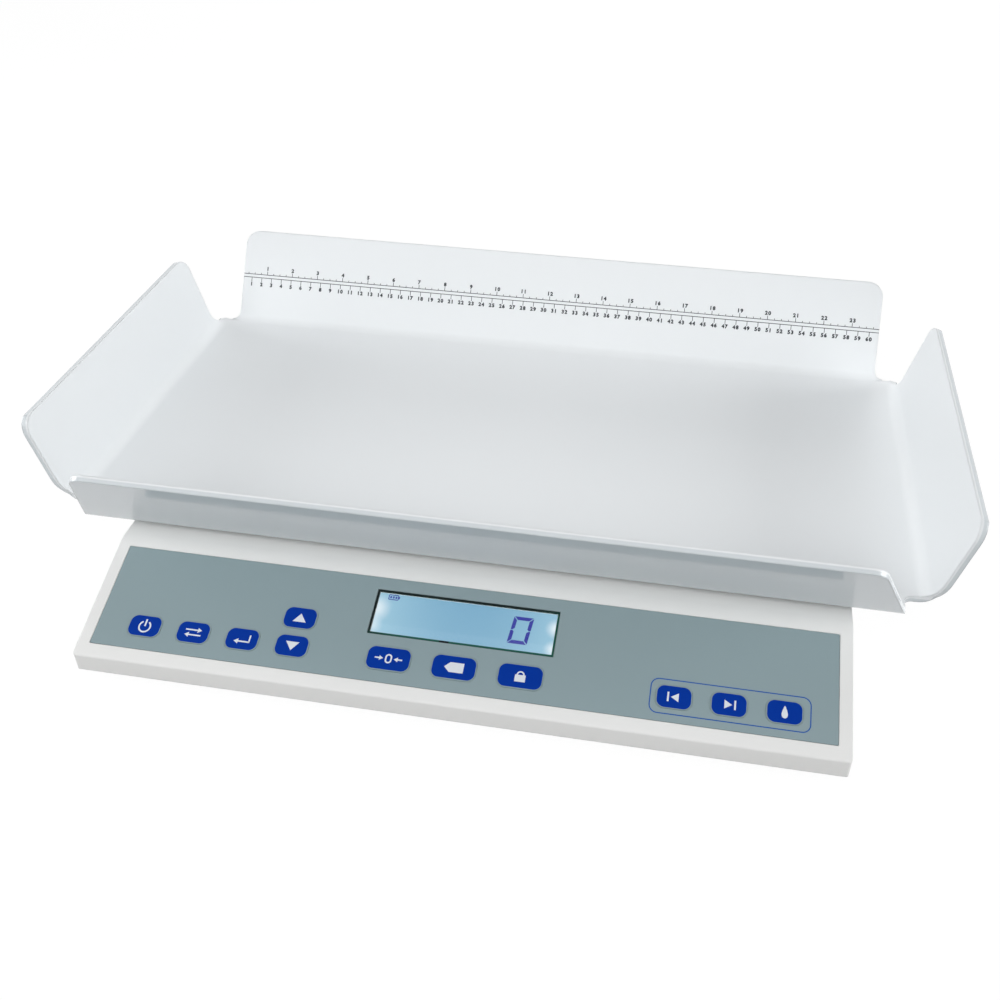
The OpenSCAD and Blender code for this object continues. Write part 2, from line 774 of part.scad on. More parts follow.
// Open box that holds the backlight and glass up in the housing's opening
module lcd_bezel() {
    depth = -shell_t - bezel_n;
    color("black") on_panel(overlay_margin + lcd_s, bezel_n) translate([lcd_x, 0, 0]) difference() {
        rounded_plate(glass_w + 2 * bezel_wall, glass_d + 2 * bezel_wall, depth, 2);
        translate([0, 0, bezel_back]) rounded_plate(glass_w + fit, glass_d + fit, depth, 0.5);
    }
}

module lcd_glass() {
    color("lightblue") on_panel(overlay_margin + lcd_s, glass_n) translate([lcd_x, 0, 0])
        rounded_plate(glass_w, glass_d, lcd_glass_t, 0.4);
}

module lcd_backlight() {
    color("white") on_panel(overlay_margin + lcd_s, backlight_n) translate([lcd_x, 0, 0])
        rounded_plate(glass_w, glass_d, backlight_t, 0.4);
}

module main_board() {
    color("darkgreen") on_panel(board_s, board_n) difference() {
        rounded_plate(board_w, board_d, board_t, 2);
        at_corners(board_screw_dx, board_screw_dy) translate([0, 0, -1])
            cylinder(d = board_screw_dia + 2 * shank_gap, h = board_t + 2);
    }
}

// Controller, converter and connector on the back of the board
module board_chips() {
    color("dimgray") on_panel(board_s, board_n) {
        translate([-20, 4, -2]) rounded_plate(14, 14, 2, 0.4);
        translate([30, 2, -1.6]) rounded_plate(8, 10, 1.6, 0.4);
        translate([70, 10, -4]) rounded_plate(22, 6, 4, 0.4);
        translate([-70, 12, -5]) cylinder(d = 8, h = 5);
        translate([tail_x, tail_s - board_s, board_t]) rounded_plate(tail_w + 4, 5, socket_h, 0.5);
    }
}

module board_screws() {
    color("silver") on_panel(board_s, board_n) at_corners(board_screw_dx, board_screw_dy)
        screw_up(board_screw_dia, board_t + board_bite);
}

// ---------- Power ----------

module battery_box() {
    box_l = bay_l + 2 * box_t;
    box_w = bay_w + 2 * box_t;
    color("whitesmoke") translate([bay_x, bay_y, plate_top]) difference() {
        rounded_plate(box_l, box_w, bay_h + box_t, 2);
        translate([0, 0, -1]) rounded_plate(bay_l, bay_w, bay_h + 1, 1);
    }
}

// Where the cells of one row lie, counted from the front
function row_y(i) = bay_y + (i - (cell_rows - 1) / 2) * row_pitch;
battery_z = plate_top + cell_dia / 2 + 0.4;

module one_battery() {
    rotate([0, 90, 0]) {
        cylinder(d = cell_dia, h = cell_len - 1.2);
        cylinder(d = 5.5, h = cell_len);
    }
}

module batteries() {
    color("goldenrod") for (row = [0:cell_rows - 1], side = [-1, 1])
        translate([bay_x + side * (cell_len + cell_gap) / 2, row_y(row), battery_z])
            rotate(180 * (row % 2)) translate([-cell_len / 2, 0, 0]) one_battery();
}

// Plates at the ends of the rows, joined in pairs on the right
module battery_contacts() {
    color("silver") for (side = [-1, 1], row = [0:cell_rows - 1])
        translate([bay_x + side * (bay_l / 2 - contact_t / 2), row_y(row), battery_z]) {
            cube([contact_t, cell_dia - 1.5, cell_dia - 4], center = true);
            rotate([0, -side * 90, 0])
                cylinder(d1 = cell_dia / 2, d2 = cell_dia / 3, h = contact_gap - contact_t / 2 - 0.1);
        }
}

module battery_door() {
    leaf_w = door_w - hinge_r;
    color("whitesmoke") {
        translate([bay_x, hinge_y, hinge_z]) rotate([0, 90, 0]) {
            cylinder(r = hinge_r, h = door_l, center = true);
            cylinder(r = hinge_pin_r, h = door_l + 2 * hinge_pin_l, center = true);
        }
        translate([bay_x - door_l / 2, hinge_y - leaf_w, rim_z]) cube([door_l, leaf_w, plate_t]);
        // Ribs that give a thumb its grip
        for (i = [0:4]) translate([bay_x - grip_w / 2, hinge_y - leaf_w + 4 + 2.4 * i, rim_z - grip_t])
            cube([grip_w, 1.2, grip_t + eps]);
    }
}

module dc_inlet() {
    color("dimgray") translate([jack_x, rear_y - shell_t, jack_z]) {
        difference() {
            translate([-jack_w / 2, -jack_l, -jack_w / 2]) cube([jack_w, jack_l, jack_w]);
            translate([0, -jack_l + 3, 0]) rotate([-90, 0, 0]) cylinder(d = jack_bore_dia, h = jack_l);
        }
        translate([0, -jack_l + 3 - eps, 0]) rotate([-90, 0, 0]) cylinder(d = jack_pin_dia, h = jack_l - 4);
    }
}

tray();
tray_posts();
post_washers();
tray_screws();
spider();
arm_spacer();
cell_top_bolts();
load_cell();
cell_bottom_bolts();
cell_spacer();
overload_stops();
upper_housing();
base_plate();
housing_screws();
rubber_feet();
foot_screws();
panel_overlay();
switch_circuit();
key_contacts();
lcd_window();
lcd_bezel();
lcd_glass();
lcd_backlight();
main_board();
board_chips();
board_screws();
key_power();
key_unit();
key_enter();
key_up();
key_down();
key_zero();
key_clear();
key_hold();
key_before_feed();
key_after_feed();
key_amount_fed();
battery_box();
battery_contacts();
batteries();
battery_door();
dc_inlet();
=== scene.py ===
"""An infant weighing scale: a white four-walled tray over a low housing with a key panel."""
import json
import math

import bmesh
import bpy
import numpy as np
from mathutils import Matrix, Vector


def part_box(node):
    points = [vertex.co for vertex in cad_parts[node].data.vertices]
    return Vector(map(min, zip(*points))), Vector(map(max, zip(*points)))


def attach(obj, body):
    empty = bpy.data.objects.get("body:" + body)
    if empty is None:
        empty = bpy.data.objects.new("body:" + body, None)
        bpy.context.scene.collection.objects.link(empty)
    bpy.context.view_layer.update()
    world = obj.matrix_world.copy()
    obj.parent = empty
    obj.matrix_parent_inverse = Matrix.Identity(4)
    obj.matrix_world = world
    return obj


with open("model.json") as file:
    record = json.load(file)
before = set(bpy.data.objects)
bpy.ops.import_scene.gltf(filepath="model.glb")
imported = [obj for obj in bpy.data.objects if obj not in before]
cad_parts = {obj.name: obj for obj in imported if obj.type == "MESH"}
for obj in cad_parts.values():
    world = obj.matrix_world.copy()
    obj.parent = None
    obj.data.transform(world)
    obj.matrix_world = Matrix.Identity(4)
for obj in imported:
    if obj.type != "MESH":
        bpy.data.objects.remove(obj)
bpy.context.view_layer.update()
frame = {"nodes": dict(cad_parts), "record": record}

# ------------------------------------------------------------------ Studio
# The scale stands on white paper among six soft boxes: one above and in front, a weaker one
# at its left, two low ones at the sides that light the tray's end walls, and two behind.


class Wire:
    """An output socket of a material, so that shader maths reads as a sum.

    Each operator adds one Math node, and a number may stand on either side of it.
    """

    def __init__(self, finish, socket):
        self.finish = finish
        self.socket = socket

    def math(self, operation, *values):
        """One Math node on the given values, in their order."""
        return self.finish.node("ShaderNodeMath", {"operation": operation}, dict(enumerate(values)))

    def __add__(self, other):
        return self.math("ADD", self, other)

    def __radd__(self, other):
        return self.math("ADD", other, self)

    def __sub__(self, other):
        return self.math("SUBTRACT", self, other)

    def __rsub__(self, other):
        return self.math("SUBTRACT", other, self)

    def __mul__(self, other):
        return self.math("MULTIPLY", self, other)

    def __rmul__(self, other):
        return self.math("MULTIPLY", other, self)

    def __truediv__(self, other):
        return self.math("DIVIDE", self, other)

    def __rtruediv__(self, other):
        return self.math("DIVIDE", other, self)

    def __pow__(self, other):
        return self.math("POWER", self, other)

    def __rpow__(self, other):
        return self.math("POWER", other, self)

    def __abs__(self):
        return self.math("ABSOLUTE", self)

    def least(self, other):
        """The smaller of the two."""
        return self.math("MINIMUM", self, other)

    def most(self, other):
        """The larger of the two."""
        return self.math("MAXIMUM", self, other)

    def fraction(self):
        """What is left after the whole number below is taken away."""
        return self.math("FRACT", self)

    def sign(self):
        """-1 below zero, 1 above it."""
        return self.math("SIGN", self)

    def rise(self, start, end, low=0.0, high=1.0):
        """Smooth step: low up to start, high from end, a soft S between them."""
        settings = {"interpolation_type": "SMOOTHSTEP"}
        values = {"Value": self, "From Min": start, "From Max": end, "To Min": low, "To Max": high}
        return self.finish.node("ShaderNodeMapRange", settings, values)

    def of(self, name):
        """Another output of the same node."""
        return Wire(self.finish, self.socket.node.outputs[name])


class Finish:
    """A material, or the world, under construction; node() makes every node in it."""

    def __init__(self, name, target=None):
        self.material = target or bpy.data.materials.new(name)
        self.material.use_nodes = True
        self.tree = self.material.node_tree
        self.tree.nodes.clear()

    def node(self, kind, settings=None, values=None, output=0):
        """A node of this type: its settings first, then the values or wires of its sockets.

        Returns the wire of one of its outputs, or nothing for an output node.
        """
        node = self.tree.nodes.new(kind)
        for key, value in (settings or {}).items():
            setattr(node, key, value)
        for key, value in (values or {}).items():
            self.feed(node.inputs[key], value)
        return Wire(self, node.outputs[output]) if node.outputs else None

    def feed(self, socket, value):
        """Links a wire to the socket, or sets a number or colour on the socket itself."""
        if isinstance(value, Wire):
            self.tree.links.new(value.socket, socket)
        elif isinstance(value, tuple) and len(value) == 3 and socket.type == "RGBA":
            socket.default_value = (*value, 1)
        else:
            socket.default_value = value

    def blend(self, share, first, second):
        """Colour between first, at share 0, and second, at share 1."""
        settings = {"data_type": "RGBA"}
        return self.node("ShaderNodeMix", settings, {0: share, 6: first, 7: second}, output=2)

    def spot(self):
        """Where a point of the piece lies, in metres in the scale's own frame."""
        return self.node("ShaderNodeTexCoord", output="Object")

    def axes(self):
        """The same place as three separate wires."""
        x = self.node("ShaderNodeSeparateXYZ", None, {0: self.spot()})
        return x, x.of("Y"), x.of("Z")

    def grain(self, scale, detail=2.0, roughness=0.5):
        """Even noise, 0 to 1, with scale features to the metre."""
        values = {"Vector": self.spot(), "Scale": scale, "Detail": detail, "Roughness": roughness}
        return self.node("ShaderNodeTexNoise", None, values)

    def eased(self, radius):
        """Normal that reads as if every edge were rounded to this radius."""
        return self.node("ShaderNodeBevel", {"samples": 6}, {"Radius": radius}, output="Normal")

    def pits(self, height, depth, normal=None):
        """Bump whose full height is depth, in metres."""
        values = {"Height": height, "Distance": depth, "Strength": 1.0}
        if normal is not None:
            values["Normal"] = normal
        return self.node("ShaderNodeBump", None, values)

    def shade(self, **sockets):
        """Principled surface; words in socket names are joined with underscores."""
        values = {key.replace("_", " "): value for key, value in sockets.items()}
        return self.node("ShaderNodeBsdfPrincipled", None, values)

    def close(self, surface, kind="ShaderNodeOutputMaterial"):
        """Wires the surface to the output and returns the finished material."""
        self.node(kind, None, {"Surface": surface})
        return self.material


def dress(name, material):
    """Gives a carried-over solid its finish."""
    node = frame["nodes"][name]
    node.data.materials.clear()
    node.data.materials.append(material)
    return node


def seen_share(finish):
    """1 on what the camera sees directly, in a reflection or through glass."""
    path = finish.node("ShaderNodeLightPath", output="Is Camera Ray")
    return path.most(path.of("Is Glossy Ray")).most(path.of("Is Transmission Ray"))


def tone(red, green, blue):
    """Linear colour of an 8-bit screen colour."""
    parts = np.array([red, green, blue]) / 255.0
    bright = ((parts + 0.055) / 1.055) ** 2.4
    return tuple(float(p) for p in np.where(parts > 0.04045, bright, parts / 12.92))


scene = bpy.context.scene
world = bpy.data.worlds.new("studio_room")
scene.world = world
room = Finish("room", world)
seen = room.node("ShaderNodeBackground", None, {"Color": (1.0, 1.0, 1.0), "Strength": 1.0})
felt = room.node("ShaderNodeBackground", None, {"Color": (0.94, 0.97, 1.0), "Strength": 0.10})
room.close(room.node("ShaderNodeMixShader", None, {0: seen_share(room), 1: felt, 2: seen}),
           "ShaderNodeOutputWorld")

paper = Finish("studio_paper")
fibre = paper.grain(140.0, 4.0)
paper_white = paper.blend(fibre, (0.53, 0.53, 0.53), (0.57, 0.57, 0.57))
sheet = paper.shade(Base_Color=paper_white, Roughness=0.9)
glow = paper.node("ShaderNodeEmission", None, {"Color": (1.0, 1.0, 1.0), "Strength": 1.08})
glow_share = seen_share(paper) * 0.88
paper.close(paper.node("ShaderNodeMixShader", None, {0: glow_share, 1: sheet, 2: glow}))

floor_half, floor_z = 6.0, -1e-4
floor_corners = [(-floor_half, -floor_half, floor_z), (floor_half, -floor_half, floor_z),
                 (floor_half, floor_half, floor_z), (-floor_half, floor_half, floor_z)]
floor_mesh = bpy.data.meshes.new("studio_floor")
floor_mesh.from_pydata(floor_corners, [], [(0, 1, 2, 3)])
floor_mesh.materials.append(paper.material)
floor = bpy.data.objects.new("studio_floor", floor_mesh)
scene.collection.objects.link(floor)


def soft_box(name, place, aim, size, watts):
    """A rectangular white area lamp at place that faces aim."""
    lamp = bpy.data.lights.new(name, "AREA")
    lamp.shape = "RECTANGLE"
    lamp.size, lamp.size_y = size
    lamp.energy = watts
    holder = bpy.data.objects.new(name, lamp)
    scene.collection.objects.link(holder)
    holder.location = place
    holder.rotation_euler = (Vector(aim) - Vector(place)).to_track_quat("-Z", "Y").to_euler()


soft_box("box_front", (0.05, -1.42, 1.38), (0.0, 0.0, 0.1), (1.3, 1.1), 15.3)
soft_box("box_corner", (-1.15, -1.15, 1.3), (0.0, 0.0, 0.1), (1.2, 1.0), 8.5)
soft_box("box_right", (2.2, 0.0, 0.62), (-0.2, 0.0, 0.1), (1.3, 1.0), 30.0)
soft_box("box_left", (-2.2, 0.0, 0.62), (0.2, 0.0, 0.1), (1.3, 1.0), 21.5)
soft_box("box_behind", (0.0, 0.9, 1.8), (0.0, 0.0, 0.1), (1.8, 1.3), 7.0)
soft_box("box_rear", (0.0, 2.3, 0.6), (0.0, 0.0, 0.1), (1.6, 1.0), 14.0)

# The camera stands in front of the panel, a little to the right, and looks down.
eye = Vector((0.14548, -0.70489, 0.59861))
turn, dip, lean = math.radians(9.2354), math.radians(35.578), math.radians(0.6126)
ahead = Vector((-math.sin(turn) * math.cos(dip), math.cos(turn) * math.cos(dip), -math.sin(dip)))
level = Vector((math.cos(turn), math.sin(turn), 0))
upward = level.cross(ahead)
side = math.cos(lean) * level + math.sin(lean) * upward
top = math.cos(lean) * upward - math.sin(lean) * level
camera = bpy.data.objects.new("camera", bpy.data.cameras.new("camera"))
scene.collection.objects.link(camera)
camera.matrix_world = Matrix.Translation(eye) @ Matrix((side, top, -ahead)).transposed().to_4x4()
camera.data.sensor_width = 36.0
camera.data.lens = 39.501
camera.data.shift_x = -0.04645
camera.data.shift_y = -0.06434
camera.data.clip_start = 0.01
scene.camera = camera
scene.view_settings.view_transform = "Standard"

# ------------------------------------------------------------------ Tray
# One sheet of white plastic, bent up on four sides. Its inside has a matt grain that a baby
# lies on, and its outside is the sheet's smooth, glossy back, painted darker as shade though the
# sheet is white on both sides. The cut edges are eased.
MM = 0.001
mounts = {mount["name"]: mount for mount in frame["record"]["mounts"]}
bed = Vector(mounts["tray_bed"]["pos_m"])
half_length, half_width = 321.0 * MM, 149.0 * MM
rim_radius = 2.3 * MM
side_flare, back_lean, front_lean = (math.radians(angle) for angle in (14.5, 33.5, 32.0))

tray = Finish("tray_sheet")
x, y, z = tray.axes()
height = z - bed.z


def from_wall(reach, fold, lean):
    """Distance from a wall's inner face, positive into the tray.

    The height above the bed times the sine of the wall's lean, less the reach beyond the fold
    times its cosine. reach is measured from the tray's middle.
    """
    return height * math.sin(lean) - (reach - fold) * math.cos(lean)


inner = from_wall(abs(x), half_length, side_flare)
inner = inner.least(from_wall(y - bed.y, half_width, back_lean))
inner = inner.least(from_wall(bed.y - y, half_width, front_lean)).least(height)
matt = inner.rise(-2.6 * MM, -1.2 * MM)
haircell = tray.grain(900.0, 3.0, 0.6)
cloud = tray.grain(6.0, 2.0)
inside_white = tray.blend(cloud, (0.805, 0.832, 0.848), (0.828, 0.852, 0.866))
# Painted shade: the outside of the sheet gets a darker, greyer white than the inside.
tray_white_and_painted_shade = tray.blend(matt, (0.655, 0.700, 0.725), inside_white)
rough = matt * (0.34 + 0.14 * haircell) + (1 - matt) * (0.07 + 0.05 * cloud)
tray.close(tray.shade(Base_Color=tray_white_and_painted_shade, Roughness=rough, IOR=1.5,
                      Normal=tray.pits(haircell * matt, 0.05 * MM, tray.eased(rim_radius))))
dress("tray", tray.material)

# ------------------------------------------------------------------ Rule
# Black ink printed on the tray's back wall: a centimetre scale that hangs from one line and
# an inch scale that stands on another.
wall_up = Vector((0.0, math.sin(back_lean), math.cos(back_lean)))
wall_out = Vector((0.0, -math.cos(back_lean), math.sin(back_lean)))
wall_foot = Vector((0.0, bed.y + half_width, bed.z))
ink_t = 0.05 * MM


def bars(name, rects, origin, along, up, out, low, high):
    """Closed flat bars on a plane, one for each row (u0, v0, u1, v1) of rects.

    A corner is the origin plus u along, v up and n out, with n at low or high.
    """
    rects = np.asarray(rects, float).reshape(-1, 4)
    u = rects[:, [0, 2, 2, 0, 0, 2, 2, 0]]
    v = rects[:, [1, 1, 3, 3, 1, 1, 3, 3]]
    n = np.broadcast_to(np.array([low] * 4 + [high] * 4), u.shape)
    plane_axes = np.array([along, up, out], float)
    points = np.array(origin) + np.stack([u, v, n], axis=-1) @ plane_axes
    faces = np.array([[3, 2, 1, 0], [4, 5, 6, 7], [0, 1, 5, 4],
                      [1, 2, 6, 5], [2, 3, 7, 6], [3, 0, 4, 7]])
    faces = faces[None] + 8 * np.arange(len(rects))[:, None, None]
    return solid(name, points.reshape(-1, 3), faces.reshape(-1, 4).tolist())


def solid(name, points, faces):
    """A new piece from an array of corner points and a list of faces."""
    mesh = bpy.data.meshes.new(name)
    mesh.from_pydata(points.tolist(), [], faces)
    mesh.validate()
    mesh.update()
    piece = bpy.data.objects.new(name, mesh)
    scene.collection.objects.link(piece)
    return piece


def finish_piece(piece, material, body):
    """Gives a new piece its finish and its body."""
    piece.data.materials.clear()
    piece.data.materials.append(material)
    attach(piece, body)
    return piece


ink = Finish("rule_ink")
dryness = ink.grain(700.0, 2.0)
ink_black = ink.blend(dryness, (0.006, 0.010, 0.016), (0.020, 0.026, 0.033))
ink.close(ink.shade(Base_Color=ink_black, Roughness=0.55 + 0.1 * dryness, Specular_IOR_Level=0.25))

centimetres = np.arange(1, 61)
inches = np.arange(1, 24)
quarters = np.arange(1, 96)
quarters = quarters[quarters % 4 != 0]
rule_start, rule_end = -303.4, 303.4
zero_x = -305.04
cm_line, inch_line = 42.1, 45.2
line_w, tick_w = 0.58, 0.50
cm_tick, inch_tick, quarter_tick = 3.9, 3.4, 1.4
figure_h, figure_boldness, figure_pitch, figure_gap = 3.5, 0.055, 1.16, 6.3


def ticks(places, foot, length, width):
    """Rows (u0, v0, u1, v1): a bar of this width at each place; a negative length hangs down."""
    v = np.sort(np.array([foot, foot + length]))
    return np.stack([places - width / 2, np.full(places.shape, v[0]),
                     places + width / 2, np.full(places.shape, v[1])], axis=1)


marks = np.concatenate([
    [[rule_start, cm_line - line_w / 2, rule_end, cm_line + line_w / 2]],
    [[rule_start, inch_line - line_w / 2, rule_end, inch_line + line_w / 2]],
    ticks(zero_x + 10.0 * centimetres, cm_line - line_w / 2, -cm_tick, tick_w),
    ticks(zero_x + 25.4 * inches, inch_line + line_w / 2, inch_tick, tick_w),
    ticks(zero_x + 25.4 * quarters / 4, inch_line + line_w / 2, quarter_tick, tick_w * 0.9),
])
rule = bars("rule_lines", marks * MM, wall_foot, (1, 0, 0), wall_up, wall_out, 0.0, ink_t)
finish_piece(rule, ink.material, "platform")


def figure_shapes(text, thickness, boldness):
    """Corner points and faces of each character, from Blender's own font at size 1, welded."""
    shapes = {}
    for character in text:
        curve = bpy.data.curves.new("figure", "FONT")
        curve.body = character
        curve.extrude = thickness / 2
        curve.offset = boldness
        curve.resolution_u = 3
        holder = bpy.data.objects.new("figure", curve)
        scene.collection.objects.link(holder)
        bpy.context.view_layer.update()
        mesh = bpy.data.meshes.new_from_object(holder.evaluated_get(
            bpy.context.evaluated_depsgraph_get()))
        welded = bmesh.new()
        welded.from_mesh(mesh)
        bmesh.ops.remove_doubles(welded, verts=welded.verts, dist=1e-5)
        bmesh.ops.recalc_face_normals(welded, faces=welded.faces)
        welded.to_mesh(mesh)
        welded.free()
        points = np.empty(3 * len(mesh.vertices))
        mesh.vertices.foreach_get("co", points)
        shapes[character] = (points.reshape(-1, 3), [tuple(f.vertices) for f in mesh.polygons])
        bpy.data.objects.remove(holder)
        bpy.data.curves.remove(curve)
        bpy.data.meshes.remove(mesh)
    return shapes


digits = figure_shapes("0123456789", 1.0, figure_boldness)
digit_top = digits["0"][0][:, 1].max()
digit_width = digits["0"][0][:, 0].max() - digits["0"][0][:, 0].min()


def numerals(name, labels, origin, along, up, out, height, thickness):
    """Numbers centred on their places, as one piece. labels is a list of (number, u, v).

    A digit's points are scaled to the height, moved by its place in the number and by u and v,
    and laid on the plane as in bars.
    """
    plane_axes = np.array([along, up, out], float)
    points, faces, used = [], [], 0
    scale = height / digit_top
    for number, u, v in labels:
        word = str(number)
        for i, character in enumerate(word):
            shape, polygons = digits[character]
            middle = (shape[:, 0].max() + shape[:, 0].min()) / 2
            shift = (i - (len(word) - 1) / 2) * digit_width * figure_pitch
            flat = np.stack([(shape[:, 0] - middle + shift) * scale + u,
                             shape[:, 1] * scale - height / 2 + v,
                             (shape[:, 2] + 0.5) * thickness], axis=1)
            points.append(np.array(origin) + flat @ plane_axes)
            faces += [tuple(index + used for index in polygon) for polygon in polygons]
            used += len(shape)
    return solid(name, np.concatenate(points), faces)


labels = [(int(n), (zero_x + 10.0 * n) * MM, (cm_line - figure_gap) * MM) for n in centimetres]
labels += [(int(n), (zero_x + 25.4 * n) * MM, (inch_line + figure_gap) * MM) for n in inches]
figures = numerals("rule_figures", labels, wall_foot, (1, 0, 0), wall_up, wall_out,
                   figure_h * MM, ink_t)
finish_piece(figures, ink.material, "platform")

# ------------------------------------------------------------------ Housing
# White moulded box, open below, with a fine spark texture from its mould. The panel slopes
# up from the front edge and rolls over into the deck under the tray.
edge_radius = 1.0 * MM
moulding = Finish("housing_moulding")
spark = moulding.grain(1500.0, 2.0, 0.6)
dust = moulding.grain(9.0, 3.0)
housing_white = moulding.blend(dust, (0.825, 0.825, 0.812), (0.850, 0.850, 0.838))
moulding.close(moulding.shade(Base_Color=housing_white, Roughness=0.42 + 0.14 * spark, IOR=1.46,
                              Normal=moulding.pits(spark, 0.04 * MM, moulding.eased(edge_radius))))
dress("upper_housing", moulding.material)
dress("tray_posts", moulding.material)
dress("battery_box", moulding.material)

# ------------------------------------------------------------------ Base plate
# Grey moulded plate that closes the housing from below, with vent slots and the door over the
# battery bay. Both come from coarser moulds than the housing.
under = Finish("base_plate_moulding")
spark = under.grain(1300.0, 2.0, 0.6)
plate_tone = under.blend(under.grain(7.0, 3.0), (0.500, 0.505, 0.500), (0.560, 0.565, 0.560))
under.close(under.shade(Base_Color=plate_tone, Roughness=0.46 + 0.14 * spark,
                        Normal=under.pits(spark, 0.05 * MM)))
dress("base_plate", under.material)

door = Finish("battery_door_moulding")
spark = door.grain(1300.0, 2.0, 0.6)
door_tone = door.blend(door.grain(16.0, 3.0), (0.470, 0.475, 0.470), (0.520, 0.525, 0.520))
door.close(door.shade(Base_Color=door_tone, Roughness=0.42 + 0.14 * spark,
                      Normal=door.pits(spark, 0.05 * MM)))
dress("battery_door", door.material)

# ------------------------------------------------------------------ Feet
# Four dark rubber feet, each held by a screw in its hollow. Moulded rubber has a dull bloom.
rubber = Finish("foot_rubber")
bloom = rubber.grain(260.0, 4.0, 0.65)
rubber_tone = rubber.blend(bloom, (0.014, 0.014, 0.015), (0.040, 0.040, 0.041))
rubber.close(rubber.shade(Base_Color=rubber_tone, Roughness=0.70 + 0.15 * bloom,
                          Normal=rubber.pits(bloom, 0.10 * MM)))
dress("rubber_feet", rubber.material)
dress("post_washers", rubber.material)

# ------------------------------------------------------------------ Metal parts
# Zinc-plated screws and stops, a pressed steel spider in grey primer, and milled aluminium for
# the load cell and its spacers. Milling leaves fine lines across the bars.


def metal(name, dark, light, roughness, lines=(900.0,) * 3, depth=0.01 * MM, metallic=1.0):
    """Metal with streaks; lines gives their number to the metre along each axis."""
    finish = Finish(name)
    place = finish.node("ShaderNodeMapping", None, {"Vector": finish.spot(), "Scale": lines})
    streak = finish.node("ShaderNodeTexNoise", None,
                         {"Vector": place, "Scale": 1.0, "Detail": 3.0, "Roughness": 0.6})
    colour = finish.blend(streak, dark, light)
    return finish.close(finish.shade(
        Base_Color=colour, Metallic=metallic, Roughness=roughness + 0.16 * streak,
        Normal=finish.pits(streak, depth)))


plated = metal("plated_steel", (0.50, 0.51, 0.53), (0.66, 0.67, 0.68), 0.24)
for name in ("tray_screws", "cell_top_bolts", "cell_bottom_bolts", "overload_stops",
             "housing_screws", "foot_screws", "board_screws"):
    dress(name, plated)
sprung = metal("sprung_steel", (0.52, 0.50, 0.46), (0.70, 0.68, 0.63), 0.20)
dress("key_contacts", sprung)
dress("battery_contacts", sprung)
primer = metal("spider_primer", (0.110, 0.118, 0.122), (0.150, 0.158, 0.163), 0.42,
               depth=0.03 * MM, metallic=0.0)
dress("spider", primer)
milled = metal("milled_aluminium", (0.60, 0.61, 0.62), (0.80, 0.81, 0.82), 0.26,
               lines=(2600.0, 60.0, 60.0))
for name in ("load_cell", "arm_spacer", "cell_spacer"):
    dress(name, milled)

# ------------------------------------------------------------------ Overlay
# Grey-blue printed film, bonded into a shallow bed of the sloping panel. Its face has a very
# fine emboss. A thin blue frame is printed round the three keys on the right.
front_edge_top, overlay_start = (6.0 + 14.7) * MM, 10.2 * MM
print_t = 0.03
tilt = math.radians(20.0)
panel_up = Vector((0.0, math.cos(tilt), math.sin(tilt)))
panel_out = Vector((0.0, -math.sin(tilt), math.cos(tilt)))
panel_foot = Vector((0.0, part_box("upper_housing")[0].y, front_edge_top))
overlay_foot = panel_foot + overlay_start * panel_up

film = Finish("overlay_film")
emboss = film.grain(2200.0, 1.0, 0.5)
haze = film.grain(14.0, 3.0)
film_grey = film.blend(haze, (0.258, 0.340, 0.362), (0.276, 0.357, 0.379))
film.close(film.shade(Base_Color=film_grey, Roughness=0.40 + 0.16 * emboss, IOR=1.46,
                      Specular_IOR_Level=0.35, Normal=film.pits(emboss, 0.03 * MM)))
dress("panel_overlay", film.material)

circuit = Finish("switch_circuit_film")
x, y, z = circuit.axes()
print_run = abs((x * 180.0).fraction() - 0.5).rise(0.10, 0.13)
circuit_tone = circuit.blend(print_run, (0.30, 0.33, 0.33), (0.45, 0.55, 0.47))
circuit.close(circuit.shade(Base_Color=circuit_tone, Roughness=0.28 + 0.1 * circuit.grain(400.0)))
dress("switch_circuit", circuit.material)


def ribbon(left, right, closed=False):
    """Points and faces of a flat band between two lines of (u, v) points, 0 to 1 thick.

    Neighbouring points of the two lines span a four-sided face below, at 0, and above, at 1,
    and walls join the two; left lies to the left of the way the points run.
    """
    left, right = np.asarray(left, float), np.asarray(right, float)
    n = len(left)
    flat = np.concatenate([left, right])
    points = np.concatenate([np.column_stack([flat, np.full(2 * n, h)]) for h in (0.0, 1.0)])
    a = np.arange(n if closed else n - 1)
    b = (a + 1) % n
    band = np.stack([a, n + a, n + b, b], 1)
    faces = np.concatenate([
        band[:, ::-1], band + 2 * n, np.stack([b, a, 2 * n + a, 2 * n + b], 1),
        np.stack([n + a, n + b, 3 * n + b, 3 * n + a], 1)]).tolist()
    if not closed:
        last = n - 1
        faces += [[0, n, 3 * n, 2 * n], [n + last, last, 2 * n + last, 3 * n + last]]
    return points, faces


def plate(outline):
    """Points and faces of a flat shape whose outline runs anticlockwise, 0 to 1 thick."""
    outline = np.asarray(outline, float)
    n = len(outline)
    points = np.concatenate([np.column_stack([outline, np.full(n, h)]) for h in (0.0, 1.0)])
    a = np.arange(n)
    b = (a + 1) % n
    walls = np.stack([a, b, b + n, a + n], 1).tolist()
    return points, [list(range(n))[::-1], list(range(n, 2 * n))] + walls


def arc(centre, radius, start, end, steps=24):
    """Points on a circle, centre plus radius times cosine and sine, from start to end degrees."""
    angles = np.radians(np.linspace(start, end, steps + 1))
    return np.array(centre) + radius * np.stack([np.cos(angles), np.sin(angles)], 1)


def bow(centre, radius, width, start, end, steps=24):
    """A band of this width that follows part of a circle."""
    return ribbon(arc(centre, radius - width / 2, start, end, steps),
                  arc(centre, radius + width / 2, start, end, steps))


